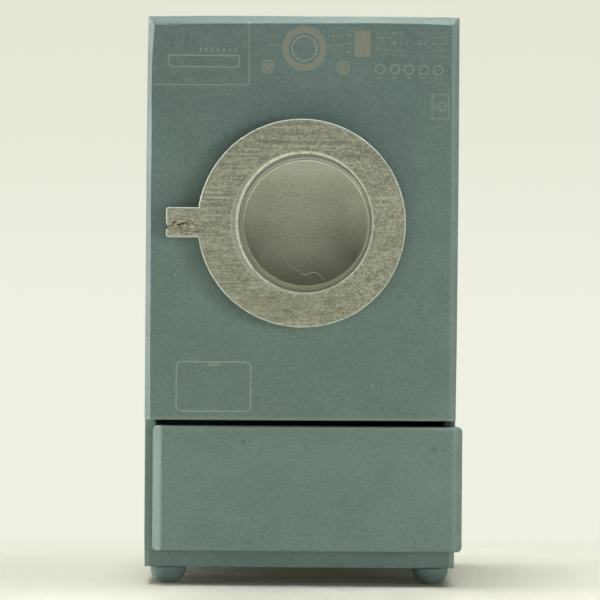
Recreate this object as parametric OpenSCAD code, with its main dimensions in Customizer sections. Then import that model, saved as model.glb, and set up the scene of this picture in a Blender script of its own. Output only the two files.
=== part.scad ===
// Dolls' house front-loading washing machine on a drawer pedestal.
// Glued wooden boards, painted; a round door on a hidden pin hinge; a pressed metal bowl and drum.
// X points to the viewer's right, Y to the back and Z up. The origin is on the table, under the
// middle of the machine with its door shut.

/* [Cabinet] */
// Width of the cabinet
body_w = 57.2; // [54:0.1:66]
// Depth of the cabinet, from the face of the front panel to the back
body_d = 56; // [50:0.5:70]
// Height from the table to the top, feet included
body_h = 104.7; // [98:0.1:120]
// Thickness of the front panel, the base, top and shelf boards and the drawer's front
board = 3; // [2.6:0.1:4]
// Thickness of the side boards
side_board = 2; // [1.2:0.1:3]
// Thickness of their rebated lower edges, which cover the ends of the base board
side_lip = 1; // [0.6:0.1:1.2]
// Thickness of the back board
back_board = 2; // [1.5:0.1:3]
// Width of the bevel on the front panel's top and side edges
panel_bevel = 1.2; // [0.4:0.1:1.8]
// How far the drum shelf lies above the front panel's lower edge
shelf_rise = 0.3; // [0.1:0.1:2]

/* [Feet] */
// Height of a foot
foot_h = 3.25; // [2.4:0.05:5]
// Radius of a foot
foot_r = 3.35; // [2.6:0.05:3.8]
// Radius of the flat spot that a foot stands on
foot_flat_r = 1.4; // [1:0.1:1.8]
// Distance of a foot's centre from the cabinet's edges
foot_inset = 4.3; // [4:0.1:8]
// Radius of the peg on a foot
foot_peg_r = 1.5; // [1:0.1:2]
// Length of the peg on a foot
foot_peg_l = 2.2; // [1:0.1:2.4]

/* [Door] */
// Width of the door ring's face, from its hole to its outer edge
ring_band = 6.5; // [5.5:0.1:7.5]
// Thickness of the door ring
ring_t = 3; // [2.8:0.1:4]
// Width of the bevel on the ring's front edges
ring_bevel = 0.35; // [0.1:0.05:0.6]
// Space between the shut door ring and the front panel
door_gap = 1.4; // [1.2:0.1:3]
// Height of the door's centre above the front panel's lower edge
door_rise = 36; // [32:0.1:44]
// Reach of the pull tab from the door's centre
tab_reach = 24.7; // [22:0.1:27]
// Width of the pull tab
tab_w = 5.5; // [3:0.1:9]

/* [Bowl in the door] */
// Radius of the bowl's mouth
bowl_r = 11.3; // [10:0.1:12.6]
// Depth of the bowl below its rim
bowl_depth = 3; // [1.5:0.1:3.2]
// Thickness of the bowl's metal
bowl_wall = 0.4; // [0.2:0.05:0.6]
// How far the bowl's rim lies behind the face of the ring
rim_drop = 0.7; // [0.4:0.1:1.2]
// Gap between the bowl's rim and the hole in the ring
rim_gap = 0.8; // [0.2:0.1:1]
// Width of the rebate in the ring that takes the bowl's flange
rebate_w = 1.9; // [1:0.1:2.2]
// Depth of that rebate
rebate_d = 1.9; // [0.5:0.1:2]

/* [Hinge] */
// Distance of the hinge pin from the ring's edge
hinge_inset = 2; // [1.8:0.1:2.1]
// Distance of the hinge pin behind the face of the ring
hinge_drop = 1.7; // [1.6:0.05:1.8]
// Radius of the hinge pin
pin_r = 0.4; // [0.3:0.05:0.45]
// Length of the hinge pin
pin_l = 15; // [11:0.5:16]
// Distance between the two hinge eyes
eye_pitch = 8; // [5:0.5:9]
// Outer radius of a hinge eye
eye_r = 1; // [0.8:0.05:1.05]
// Thickness of a hinge eye
eye_t = 1.2; // [0.8:0.1:1.6]
// Radius of a hinge eye's shank
shank_r = 0.45; // [0.3:0.05:0.5]
// How deep the shank sits in the front panel
shank_hold = 2.4; // [1.5:0.1:2.5]

/* [Drum] */
// Radius of the porthole and of the drum's mouth
drum_r = 14; // [13:0.1:14.5]
// Depth of the drum behind the front panel
drum_depth = 20; // [12:0.5:32]
// Thickness of the drum's wall
drum_wall = 0.6; // [0.4:0.1:1]
// Width of the flange that holds the drum to the panel
flange_w = 2; // [1:0.1:2.2]
// Radius of the corner between the drum's wall and its back
drum_corner = 3; // [1.5:0.1:6]

/* [Drawer] */
// Height of the drawer's front
drawer_front_h = 22.95; // [21:0.05:26]
// How far the drawer's front is fixed off centre, to the right
drawer_front_shift = 1.4; // [-1.4:0.05:1.4]
// How much narrower the drawer's front is than the cabinet
drawer_front_trim = 0.3; // [0:0.1:2]
// Gap between the drawer's front and the front panel above it
drawer_gap = 1.2; // [0.5:0.1:2]
// Width of the bevels at the drawer front's two ends
drawer_bevel = 1.6; // [0.5:0.1:2]
// Rounding of the drawer front's top and bottom edges
drawer_lip_r = 0.5; // [0.2:0.1:1]
// Rounding of the drawer front's corners, seen from the front
drawer_corner_r = 0.9; // [0.3:0.1:2]
// Length of the drawer box behind its front
drawer_l = 44; // [36:0.5:46]
// Height of the drawer box
drawer_box_h = 18; // [10:0.5:20]
// Thickness of the drawer's side and back boards
drawer_wall = 2; // [1.2:0.1:3]
// Thickness of the drawer's floor
drawer_floor_t = 1.6; // [1:0.1:2.4]

/* [Clearances] */
// Gap between the drawer box and the cabinet's side boards
drawer_side_gap = 0.6; // [0.2:0.05:0.8]
// Gap under the drawer
drawer_lift = 0.15; // [0.05:0.05:0.3]
// Gap between the drawer's front and the edges of the cabinet
drawer_rest = 0.2; // [0.1:0.05:0.3]
// Radial gap between the hinge pin and the hinge eyes
pin_play = 0.05; // [0.03:0.01:0.1]
// Gap between the hinge eyes and the notches in the ring
notch_play = 0.15; // [0.12:0.01:0.2]
// Radial gap of a glued or driven joint
glue_gap = 0.02; // [0.01:0.01:0.05]

/* [Hidden] */
$fn = 96;
paint = [0.40, 0.47, 0.43];
shade = [0.34, 0.40, 0.37];
silver = [0.60, 0.60, 0.54];
metal = [0.66, 0.66, 0.62];
brass = [0.72, 0.58, 0.30];
past = 1;

// Levels and faces of the cabinet
front_y = (door_gap + ring_t - body_d) / 2;
back_y = front_y + body_d;
carcass_y = front_y + board;
back_board_y = back_y - back_board;
floor_z = foot_h + board;
drawer_z = floor_z + drawer_lift;
panel_z = drawer_z + drawer_front_h + drawer_gap;
panel_h = body_h - panel_z;
shelf_z = panel_z + shelf_rise;
top_z = body_h - board;
side_x = body_w / 2 - side_board;
lip_x = body_w / 2 - side_lip;
foot_x = body_w / 2 - foot_inset;

// The door
door_z = panel_z + door_rise;
ring_y = front_y - door_gap - ring_t;
ring_hole_r = bowl_r + bowl_wall + rim_gap;
ring_r = ring_hole_r + ring_band;
rebate_r = ring_hole_r + rebate_w;
hinge_x = ring_r - hinge_inset;
hinge_y = ring_y + hinge_drop;

// The drawer
drawer_front_w = body_w - drawer_front_trim;
drawer_box_y = carcass_y - drawer_rest;
drawer_box_x = side_x - drawer_side_gap;
drawer_end_y = drawer_box_y + drawer_l;

// A block from one corner to the opposite one
module block(low, high) {
    translate(low) cube(high - low);
}

// Raises an outline drawn in Y and Z along X, centred
module across(width) {
    rotate([90, 0, 90]) linear_extrude(width, center = true) children();
}

// Turns an outline of radius and depth about the door's axis
module turned(face_y) {
    translate([0, face_y, door_z]) rotate([-90, 0, 0]) rotate_extrude() children();
}

// Plan of a slab whose two front corners are cut at 45 degrees
module bevelled_plan(width, depth, bevel) {
    polygon([[-width / 2, bevel], [-width / 2 + bevel, 0], [width / 2 - bevel, 0],
        [width / 2, bevel], [width / 2, depth], [-width / 2, depth]]);
}

// Plan of a slab whose two front corners are round
module rounded_plan(width, depth, radius) {
    translate([-width / 2, radius]) square([width, depth - radius]);
    translate([radius - width / 2, 0]) square([width - 2 * radius, depth]);
    for (side = [-1, 1])
        translate([side * (width / 2 - radius), radius]) circle(radius);
}

// Outline with four round corners, centred in X, its lower edge at zero
module rounded_face(width, height, radius) {
    translate([-width / 2, radius]) square([width, height - 2 * radius]);
    translate([radius - width / 2, 0]) square([width - 2 * radius, height]);
    for (side = [-1, 1], level = [radius, height - radius])
        translate([side * (width / 2 - radius), level]) circle(radius);
}

// Side boards, from the base board's lower face up to the top panel
module side(hand) {
    color(paint) mirror([hand < 0 ? 1 : 0, 0, 0]) difference() {
        block([side_x, carcass_y, foot_h], [body_w / 2, back_y, top_z]);
        block([side_x - past, carcass_y - past, foot_h - past], [lip_x, back_y + past, floor_z]);
    }
}
module left_side() {
    side(-1);
}
module right_side() {
    side(1);
}

// Lies on both side boards
module top_panel() {
    color(paint) block([-body_w / 2, carcass_y, top_z], [body_w / 2, back_y, body_h]);
}

// Fits between the side boards, flush with their back edges
module back_panel() {
    color(shade) block([-side_x, back_board_y, floor_z], [side_x, back_y, top_z]);
}

// Bottom board in the rebates of the side boards, with a blind hole for each foot's peg
module base_board() {
    color(paint) difference() {
        block([-lip_x, carcass_y, foot_h], [lip_x, back_y, floor_z]);
        for (x = [-foot_x, foot_x], y = [carcass_y + foot_inset, back_y - foot_inset])
            translate([x, y, foot_h - past])
                cylinder(r = foot_peg_r + glue_gap, h = past + foot_peg_l + 2 * glue_gap);
    }
}

// Divides the drum's room from the drawer's
module drum_shelf() {
    color(shade) block([-side_x, carcass_y, shelf_z], [side_x, back_board_y, shelf_z + board]);
}

// Front board with the porthole and the holes for the hinge eyes' shanks
module front_panel() {
    color(paint) difference() {
        intersection() {
            translate([0, front_y, panel_z])
                linear_extrude(panel_h) bevelled_plan(body_w, board, panel_bevel);
            across(body_w + past) polygon([[front_y, panel_z], [carcass_y, panel_z],
                [carcass_y, body_h], [front_y + panel_bevel, body_h],
                [front_y, body_h - panel_bevel]]);
        }
        translate([0, front_y - past, door_z])
            rotate([-90, 0, 0]) cylinder(r = drum_r, h = board + 2 * past);
        for (side = [-1, 1])
            translate([hinge_x, front_y - past, door_z + side * eye_pitch / 2])
                rotate([-90, 0, 0])
                    cylinder(r = shank_r + glue_gap, h = past + shank_hold + glue_gap);
    }
}

// Open cup behind the porthole, with a flange against the back of the front panel
module drum() {
    outer_r = drum_r + drum_wall;
    color(metal) turned(carcass_y) {
        translate([drum_r, 0]) square([drum_wall + flange_w, drum_wall]);
        difference() {
            cup_outline(outer_r, drum_depth + drum_wall, drum_corner + drum_wall);
            translate([0, -past]) cup_outline(drum_r, drum_depth + past, drum_corner);
        }
    }
}

// Half section of a round cup: radius across, depth up, the far corner round
module cup_outline(radius, depth, corner) {
    square([radius, depth - corner]);
    square([radius - corner, depth]);
    translate([radius - corner, depth - corner]) intersection() {
        circle(corner);
        square(corner);
    }
}

// Brass eye round the hinge pin, its shank driven into the front panel
module hinge_eye(side) {
    reach = front_y + shank_hold - hinge_y;
    translate([hinge_x, hinge_y, door_z + side * eye_pitch / 2]) color(brass) difference() {
        union() {
            cylinder(r = eye_r, h = eye_t, center = true);
            rotate([-90, 0, 0]) cylinder(r = shank_r, h = reach);
        }
        cylinder(r = pin_r + pin_play, h = eye_t + past, center = true);
    }
}
module hinge_eye_upper() {
    hinge_eye(1);
}
module hinge_eye_lower() {
    hinge_eye(-1);
}

// Turned ball foot, cut flat below, its peg in the base board
module foot(side, y) {
    ball_z = sqrt(foot_r * foot_r - foot_flat_r * foot_flat_r);
    translate([side * foot_x, y, 0]) color(paint) {
        rotate_extrude() intersection() {
            union() {
                translate([0, ball_z]) circle(foot_r);
                translate([0, ball_z]) square([foot_r, foot_h]);
            }
            square([foot_r, foot_h]);
        }
        translate([0, 0, foot_h]) cylinder(r = foot_peg_r, h = foot_peg_l);
    }
}
module foot_front_left() {
    foot(-1, carcass_y + foot_inset);
}
module foot_front_right() {
    foot(1, carcass_y + foot_inset);
}
module foot_rear_left() {
    foot(-1, back_y - foot_inset);
}
module foot_rear_right() {
    foot(1, back_y - foot_inset);
}

// Pull tab, bevelled round its three free edges
module tab() {
    root_x = ring_hole_r + ring_bevel + rebate_w;
    tab_l = tab_reach - root_x;
    intersection() {
        translate([-(root_x + tab_l / 2), 0, 0]) across(tab_l)
            rotate(-90) bevelled_plan(tab_w, ring_t, ring_bevel);
        linear_extrude(tab_w + past, center = true)
            polygon([[-tab_reach, ring_bevel], [ring_bevel - tab_reach, 0], [-root_x, 0],
                [-root_x, ring_t], [-tab_reach, ring_t]]);
    }
}

// Room for one hinge eye and its shank, from the back round to the ring's edge
module eye_notch() {
    shank_room = shank_r + notch_play;
    linear_extrude(eye_t + 2 * notch_play, center = true) {
        circle(eye_r + notch_play);
        translate([-shank_room, -shank_room])
            square([shank_room + hinge_inset + past, shank_room + ring_t]);
    }
}

// Round wooden frame of the door with its pull tab
module door_ring() {
    seat = ring_t - rebate_d;
    color(silver) difference() {
        union() {
            turned(ring_y) polygon([[ring_hole_r, ring_bevel], [ring_hole_r + ring_bevel, 0],
                [ring_r - ring_bevel, 0], [ring_r, ring_bevel], [ring_r, ring_t],
                [rebate_r, ring_t], [rebate_r, seat], [ring_hole_r, seat]]);
            translate([0, ring_y, door_z]) tab();
        }
        translate([hinge_x, hinge_y, door_z]) {
            cylinder(r = pin_r + glue_gap, h = 2 * ring_r, center = true);
            for (side = [-1, 1])
                translate([0, 0, side * eye_pitch / 2]) eye_notch();
        }
    }
}

// Pressed metal bowl: a flange in the rebate, a standing rim and a shallow dish
module door_bowl() {
    seat = ring_t - rebate_d;
    rim_r = bowl_wall / 2;
    rim_y = rim_drop + rim_r;
    dish_r = (bowl_r * bowl_r + bowl_depth * bowl_depth) / (2 * bowl_depth);
    dish_y = rim_y + bowl_depth - dish_r;
    color(metal) turned(ring_y) {
        translate([bowl_r, seat]) square([rebate_r - glue_gap - bowl_r, bowl_wall]);
        translate([bowl_r, rim_y]) square([bowl_wall, seat + bowl_wall - rim_y]);
        translate([bowl_r + rim_r, rim_y]) circle(rim_r);
        intersection() {
            translate([0, dish_y]) difference() {
                circle(dish_r + bowl_wall);
                circle(dish_r);
            }
            translate([0, rim_y]) square([bowl_r + rim_r, bowl_depth + 2 * bowl_wall]);
        }
    }
}

// Wire pin in the ring, through both eyes
module hinge_pin() {
    color(brass) translate([hinge_x, hinge_y, door_z])
        cylinder(r = pin_r, h = pin_l, center = true);
}

// Overlaid drawer front, sanded round on every edge of its face
module drawer_front() {
    color(paint) translate([drawer_front_shift, drawer_box_y - board, drawer_z])
        intersection() {
            linear_extrude(drawer_front_h)
                bevelled_plan(drawer_front_w, board, drawer_bevel);
            across(drawer_front_w + past) translate([0, drawer_front_h / 2]) rotate(-90)
                rounded_plan(drawer_front_h, board, drawer_lip_r);
            translate([0, board + past, 0]) rotate([90, 0, 0])
                linear_extrude(board + 2 * past)
                    rounded_face(drawer_front_w, drawer_front_h, drawer_corner_r);
        }
}

// The drawer box: two sides, and a back and a floor between them
module drawer_side(side) {
    inner_x = drawer_box_x - drawer_wall;
    color(shade) block(
        [side < 0 ? -drawer_box_x : inner_x, drawer_box_y, drawer_z],
        [side < 0 ? -inner_x : drawer_box_x, drawer_end_y, drawer_z + drawer_box_h]);
}
module drawer_left_side() {
    drawer_side(-1);
}
module drawer_right_side() {
    drawer_side(1);
}
module drawer_back() {
    inner_x = drawer_box_x - drawer_wall;
    color(shade) block([-inner_x, drawer_end_y - drawer_wall, drawer_z],
        [inner_x, drawer_end_y, drawer_z + drawer_box_h]);
}
module drawer_floor() {
    inner_x = drawer_box_x - drawer_wall;
    color(shade) block([-inner_x, drawer_box_y, drawer_z],
        [inner_x, drawer_end_y - drawer_wall, drawer_z + drawer_floor_t]);
}

left_side();
right_side();
top_panel();
back_panel();
base_board();
drum_shelf();
front_panel();
drum();
hinge_eye_upper();
hinge_eye_lower();
foot_front_left();
foot_front_right();
foot_rear_left();
foot_rear_right();
door_ring();
door_bowl();
hinge_pin();
drawer_front();
drawer_left_side();
drawer_right_side();
drawer_back();
drawer_floor();
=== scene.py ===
import math

import bmesh
import bpy
from mathutils import Matrix, Vector, noise


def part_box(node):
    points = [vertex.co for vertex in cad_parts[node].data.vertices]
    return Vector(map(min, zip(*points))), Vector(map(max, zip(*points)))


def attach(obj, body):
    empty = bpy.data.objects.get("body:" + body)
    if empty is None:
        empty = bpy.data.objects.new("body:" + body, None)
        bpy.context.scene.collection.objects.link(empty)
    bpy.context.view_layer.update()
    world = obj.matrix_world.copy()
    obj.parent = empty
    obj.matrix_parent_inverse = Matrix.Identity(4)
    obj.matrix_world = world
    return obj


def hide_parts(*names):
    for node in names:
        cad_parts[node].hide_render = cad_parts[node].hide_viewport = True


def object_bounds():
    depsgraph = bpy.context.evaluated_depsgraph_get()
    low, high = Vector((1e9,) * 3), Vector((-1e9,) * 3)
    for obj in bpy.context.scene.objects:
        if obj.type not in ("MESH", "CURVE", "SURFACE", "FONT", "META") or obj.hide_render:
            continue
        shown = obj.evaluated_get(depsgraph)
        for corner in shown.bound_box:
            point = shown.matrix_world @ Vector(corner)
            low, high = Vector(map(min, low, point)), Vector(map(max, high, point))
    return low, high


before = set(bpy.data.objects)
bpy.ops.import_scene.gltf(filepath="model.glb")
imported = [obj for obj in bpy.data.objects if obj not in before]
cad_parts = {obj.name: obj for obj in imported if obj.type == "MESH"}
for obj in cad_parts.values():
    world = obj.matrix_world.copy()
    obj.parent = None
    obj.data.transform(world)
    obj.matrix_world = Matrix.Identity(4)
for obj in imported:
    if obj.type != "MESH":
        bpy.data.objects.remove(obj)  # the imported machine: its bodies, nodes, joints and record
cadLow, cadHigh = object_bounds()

mm = 0.001
touching = 1e-6  # metres: what lies closer than this counts as lying on a plane
across, upwards = (1, 0, 0), (0, 0, 1)
print("frame loaded:", len(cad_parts), "nodes")

# places that several pieces share
panelLow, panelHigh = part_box("front_panel")
drawerLow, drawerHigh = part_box("drawer_front")
ringLow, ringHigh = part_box("door_ring")
drumLow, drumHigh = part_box("drum")
eyeLow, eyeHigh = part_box("hinge_eye_upper")
pinLow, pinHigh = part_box("hinge_pin")
ringRadius = (ringHigh.z - ringLow.z) / 2
ringDepth = ringHigh.y - ringLow.y
doorCentre = Vector((ringHigh.x - ringRadius, ringLow.y, (ringLow.z + ringHigh.z) / 2))
hingeAxis = Vector(((pinLow.x + pinHigh.x) / 2, (pinLow.y + pinHigh.y) / 2, doorCentre.z))


def addObject(name, data):
    thing = bpy.data.objects.new(name, data)
    bpy.context.scene.collection.objects.link(thing)
    return thing


# camera: level with the middle of the machine, a little rolled
cameraLook = {
    "distance": 600 * mm,          # from the front panel
    "frameWidth": 110.05 * mm,     # what the camera sees at the front panel
    "place": (-0.18 * mm, 52.53 * mm),  # x and height
    "roll": math.radians(-0.416),
    "sensor": 36.0,
}


def makeCamera():
    look = cameraLook
    data = bpy.data.cameras.new("camera")
    data.sensor_width = look["sensor"]
    data.lens = look["distance"] / look["frameWidth"] * look["sensor"]
    data.clip_start = 0.01
    camera = addObject("camera", data)
    x, z = look["place"]
    camera.location = (x, panelLow.y - look["distance"], z)
    camera.rotation_euler = (math.pi / 2, look["roll"], 0)
    bpy.context.scene.camera = camera


# lamps: soft ones above and beside the front, so that mostly the floor lights its face
lampLook = {  # place, aim, width and height, spread in degrees, power, seen in reflections
    "overhead": ((-0.14, 0.04, 0.75), (-0.02, 0.03, 0), (0.36, 0.36), 180, 5.0, False),
    "overRight": ((0.28, 0, 0.70), (0.05, 0, 0), (0.3, 0.3), 180, 1.5, False),
    "sheen": ((-0.08, 0.26, 0.72), (0, 0.03, 0.05), (0.3, 0.3), 180, 1.5, True),
    "left": ((-0.70, 0.07, 0.22), (0, 0.02, 0.05), (0.3, 0.3), 180, 1.8, True),
    "leftEdge": ((-0.60, 0, 0.12), (-0.027, -0.02, 0.06), (0.1, 0.1), 24, 0.026, True),
    "front": ((0.10, -0.90, 0.25), (0, 0, 0.06), (1.0, 0.6), 180, 1.04, True),
    "fill": ((0.40, -0.50, 0.05), (0, 0, 0.06), (0.2, 0.2), 180, 0.96, False),
    "corner": ((0.60, 0.10, 0.50), (0.03, 0, 0.115), (0.05, 0.05), 12, 0.011, True),
    "wash": ((0, -0.12, 0.90), (0, -0.11, 0), (0.08, 0.08), 12, 0.029, False),
    "washRight": ((0.10, -0.02, 0.90), (0.07, -0.02, 0), (0.08, 0.08), 10, 0.02, False),
}
worldLook = {"colour": (1.0, 1.0, 1.0), "strength": 0.027}


def makeLights():
    for name, (place, aim, size, spreadAngle, power, mirrored) in lampLook.items():
        data = bpy.data.lights.new(name, "AREA")
        data.shape = "RECTANGLE"
        data.size, data.size_y = size
        data.spread = math.radians(spreadAngle)
        data.energy = power
        light = addObject(name, data)
        light.location = place
        light.rotation_euler = (Vector(aim) - Vector(place)).to_track_quat("-Z", "Y").to_euler()
        light.visible_camera = False
        light.visible_glossy = mirrored
    world = bpy.data.worlds.new("studio")
    world.use_nodes = True
    sky = world.node_tree.nodes["Background"]
    sky.inputs["Color"].default_value = (*worldLook["colour"], 1)
    sky.inputs["Strength"].default_value = worldLook["strength"]
    bpy.context.scene.world = world


makeCamera()
makeLights()
bpy.context.scene.view_settings.view_transform = "Standard"
print("camera and lights set")


# small helpers for shader trees
def addNode(tree, kind, **values):
    node = tree.nodes.new(kind)
    for name, value in values.items():
        setattr(node, name, value)
    return node


def setInputs(node, **values):
    for name, value in values.items():
        node.inputs[name.replace("_", " ")].default_value = value
    return node


# a socket takes a link from another node, a colour or a plain number
def feed(tree, socket, value):
    if isinstance(value, bpy.types.NodeSocket):
        tree.links.new(value, socket)
    elif isinstance(value, tuple):
        socket.default_value = (*value, 1)
    else:
        socket.default_value = value


def mixColours(tree, factor, first, second):
    node = addNode(tree, "ShaderNodeMix", data_type="RGBA")
    for index, value in ((0, factor), (6, first), (7, second)):
        feed(tree, node.inputs[index], value)
    return node.outputs[2]


def mixValues(tree, factor, first, second):
    node = addNode(tree, "ShaderNodeMix", data_type="FLOAT")
    for index, value in ((0, factor), (2, first), (3, second)):
        feed(tree, node.inputs[index], value)
    return node.outputs[0]


def calculate(tree, operation, first, second=0.0, clamp=False):
    node = addNode(tree, "ShaderNodeMath", operation=operation, use_clamp=clamp)
    feed(tree, node.inputs[0], first)
    feed(tree, node.inputs[1], second)
    return node.outputs[0]


def plus(tree, first, second, clamp=False):
    return calculate(tree, "ADD", first, second, clamp)


def minus(tree, first, second, clamp=False):
    return calculate(tree, "SUBTRACT", first, second, clamp)


def times(tree, first, second):
    return calculate(tree, "MULTIPLY", first, second)


# 0 where the value is low and 1 where it is high, with a smooth step between
def spread(tree, value, low, high):
    node = addNode(tree, "ShaderNodeMapRange", interpolation_type="SMOOTHSTEP")
    feed(tree, node.inputs["Value"], value)
    setInputs(node, From_Min=low, From_Max=high)
    return node.outputs["Result"]


def partOf(tree, axis):
    place = addNode(tree, "ShaderNodeTexCoord")
    apart = addNode(tree, "ShaderNodeSeparateXYZ")
    feed(tree, apart.inputs[0], place.outputs["Object"])
    return apart.outputs[axis]


def distanceTo(tree, axis, middle):
    return calculate(tree, "ABSOLUTE", minus(tree, partOf(tree, axis), middle))


# lays a tone over a colour where a mask shows it
def tint(tree, colour, mask, share, tone):
    return mixColours(tree, times(tree, mask, share), colour, tone)


# lays tones over a colour in turn, each from one level of a mask up to another
def layTones(tree, colour, mask, tones):
    for tone, low, high in tones:
        colour = mixColours(tree, spread(tree, mask, low, high), colour, tone)
    return colour


# a group with one mask as its result; its inputs are numbers, or a place given as a tuple
def newGroup(name, inputs):
    tree = bpy.data.node_groups.new(name, "ShaderNodeTree")
    for socketName, value in inputs.items():
        kind = "NodeSocketVector" if isinstance(value, tuple) else "NodeSocketFloat"
        socket = tree.interface.new_socket(name=socketName, in_out="INPUT", socket_type=kind)
        socket.default_value = value
    tree.interface.new_socket(name="Mask", in_out="OUTPUT", socket_type="NodeSocketFloat")
    return tree, addNode(tree, "NodeGroupInput").outputs, addNode(tree, "NodeGroupOutput").inputs


# noise stretched along X: wood grain, brushing, and blotches when it isn't stretched
def makeGrainGroup():
    tree, entry, result = newGroup(
        "grain", {"Length": 1.0, "Width": 1.0, "Detail": 4.0, "Low": 0.3, "High": 0.7})
    place = addNode(tree, "ShaderNodeTexCoord")
    stretch = addNode(tree, "ShaderNodeCombineXYZ")
    for axis, size in (("X", "Length"), ("Y", "Width"), ("Z", "Width")):
        feed(tree, stretch.inputs[axis], calculate(tree, "DIVIDE", 1 / mm, entry[size]))
    scaled = addNode(tree, "ShaderNodeVectorMath", operation="MULTIPLY")
    feed(tree, scaled.inputs[0], place.outputs["Object"])
    feed(tree, scaled.inputs[1], stretch.outputs[0])
    cloud = setInputs(addNode(tree, "ShaderNodeTexNoise"), Scale=1.0, Roughness=0.6)
    feed(tree, cloud.inputs["Vector"], scaled.outputs[0])
    feed(tree, cloud.inputs["Detail"], entry["Detail"])
    level = addNode(tree, "ShaderNodeMapRange")
    feed(tree, level.inputs["Value"], cloud.outputs[0])
    feed(tree, level.inputs["From Min"], entry["Low"])
    feed(tree, level.inputs["From Max"], entry["High"])
    feed(tree, result["Mask"], level.outputs["Result"])
    return tree


# round mark at one place, 1 in its middle and 0 outside, a little ragged
def makeSpotGroup():
    tree, entry, result = newGroup(
        "spot", {"Centre": (0.0, 0.0, 0.0), "Radius": 0.001, "Ragged": 0.2})
    place = addNode(tree, "ShaderNodeTexCoord")
    away = addNode(tree, "ShaderNodeVectorMath", operation="DISTANCE")
    feed(tree, away.inputs[0], place.outputs["Object"])
    feed(tree, away.inputs[1], entry["Centre"])
    cloud = setInputs(addNode(tree, "ShaderNodeTexNoise"), Scale=2.5 / mm, Detail=2.0)
    feed(tree, cloud.inputs["Vector"], place.outputs["Object"])
    ragged = times(tree, minus(tree, cloud.outputs[0], 0.5), entry["Ragged"])
    share = calculate(tree, "DIVIDE", away.outputs["Value"], entry["Radius"])
    feed(tree, result["Mask"], minus(tree, 1.0, plus(tree, share, ragged), clamp=True))
    return tree


# soft-edged band between two upright and two level lines
def makeZoneGroup():
    tree, entry, result = newGroup("zone", {name: 0.0 for name in (
        "Left", "Right", "Low", "High", "Soft X", "Soft Z")})
    mask = 1.0
    for axis, first, last in (("X", "Left", "Right"), ("Z", "Low", "High")):
        middle = times(tree, plus(tree, entry[first], entry[last]), 0.5)
        half = minus(tree, entry[last], middle)
        beyond = minus(tree, distanceTo(tree, axis, middle), half)
        beyond = calculate(tree, "DIVIDE", beyond, entry["Soft " + axis])
        mask = times(tree, spread(tree, beyond, 1.0, 0.0), mask)
    feed(tree, result["Mask"], mask)
    return tree


grainGroup = makeGrainGroup()
spotGroup = makeSpotGroup()
zoneGroup = makeZoneGroup()


def useGroup(tree, group, **values):
    return setInputs(addNode(tree, "ShaderNodeGroup", node_tree=group), **values).outputs["Mask"]


# length and width in mm, then the noise levels that become 0 and 1
def grain(tree, length, width, low=0.3, high=0.7, detail=4.0):
    return useGroup(tree, grainGroup, Length=length, Width=width, Low=low, High=high,
                    Detail=detail)


def spot(tree, centre, radius, ragged):
    return useGroup(tree, spotGroup, Centre=centre, Radius=radius, Ragged=ragged)


# edges in mm from the door's middle
def zone(tree, left, right, low, high, softX, softZ):
    x, z = doorCentre.x, doorCentre.z
    return useGroup(tree, zoneGroup, Left=x + left * mm, Right=x + right * mm, Low=z + low * mm,
                    High=z + high * mm, Soft_X=softX * mm, Soft_Z=softZ * mm)


def newMaterial(name, **values):
    material = bpy.data.materials.new(name)
    material.use_nodes = True
    tree = material.node_tree
    return material, tree, setInputs(tree.nodes["Principled BSDF"], **values)


# colour, then roughness between two values where the mask is 0 and 1, then relief
def finishShader(tree, shader, colour, mask, roughness, height, relief):
    feed(tree, shader.inputs["Base Color"], colour)
    feed(tree, shader.inputs["Roughness"], mixValues(tree, mask, *roughness))
    bump = setInputs(addNode(tree, "ShaderNodeBump"), Distance=relief)
    feed(tree, bump.inputs["Height"], height)
    feed(tree, shader.inputs["Normal"], bump.outputs["Normal"])


# blue-grey enamel on sanded board: faint clouds, fine dust, orange peel and a few dents
paintLook = {
    "light": (0.226, 0.316, 0.294),
    "dark": (0.141, 0.211, 0.193),
    "dust": (0.30, 0.37, 0.31),
    "edgeHighlight": (0.30, 0.385, 0.335),
    "roughness": (0.42, 0.54), "relief": 0.012 * mm,
    "clouds": (9.0, 7.0, 0.3, 0.7, 3.0),      # grains: length, width, low, high, detail
    "fine": (0.38, 0.36, 0.28, 0.72, 1.0),
    "flecks": (0.7, 0.7, 0.74, 0.82, 1.0),
    "fineShare": 0.7, "fineHeight": 0.6, "fleckShare": 0.5,
    # brightness of each copy of the one paint: the drawer front and cabinet boards lighter as
    # painted light, the base board and feet darker as painted shade under the drawer front, the
    # inside darker as painted shade
    "shades": {"markedPaint": 1.0, "drawerPaint": 1.1, "cabinetPaint": 1.07, "lowPaint": 0.86,
               "innerPaint": 0.8},
}
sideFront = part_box("left_side")[0].y
paintedEdgeLight = {  # painted highlights, paler paint where the edges catch the light: axis, place, how far from it the highlight starts and is full in mm, share
    "markedPaint": [("Z", panelHigh.z, 1.6, 1.3, 0.45), ("Z", panelLow.z, 0.55, 0.35, 0.4),
                    ("X", panelHigh.x - 0.95 * mm, 0.5, 0.1, 0.42)],
    "drawerPaint": [("Z", drawerHigh.z, 0.7, 0.4, 0.45), ("X", drawerLow.x, 1.65, 1.55, 0.32),
                    ("X", drawerHigh.x - 1.5 * mm, 0.6, 0.1, 0.42)],
    "cabinetPaint": [("Y", sideFront, 0.25, 0.05, 0.35)],
}
markKinds = {  # depth of the face, raggedness, mask from and to, share, colour, how far it sinks
    "dent": (panelLow.y, 0.5, 0.0, 0.7, 0.6, (0.125, 0.18, 0.155), 6.0),
    "chip": (panelLow.y, 0.8, 0.1, 0.5, 1.0, (0.6, 0.62, 0.5), 0.0),
    # slotShade: near-black painted shade where the slot above the drawer lies in shadow
    "slotShade": (panelHigh.y, 0.1, 0.0, 0.6, 0.85, (0.006, 0.009, 0.007), 0.0),
}
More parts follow.
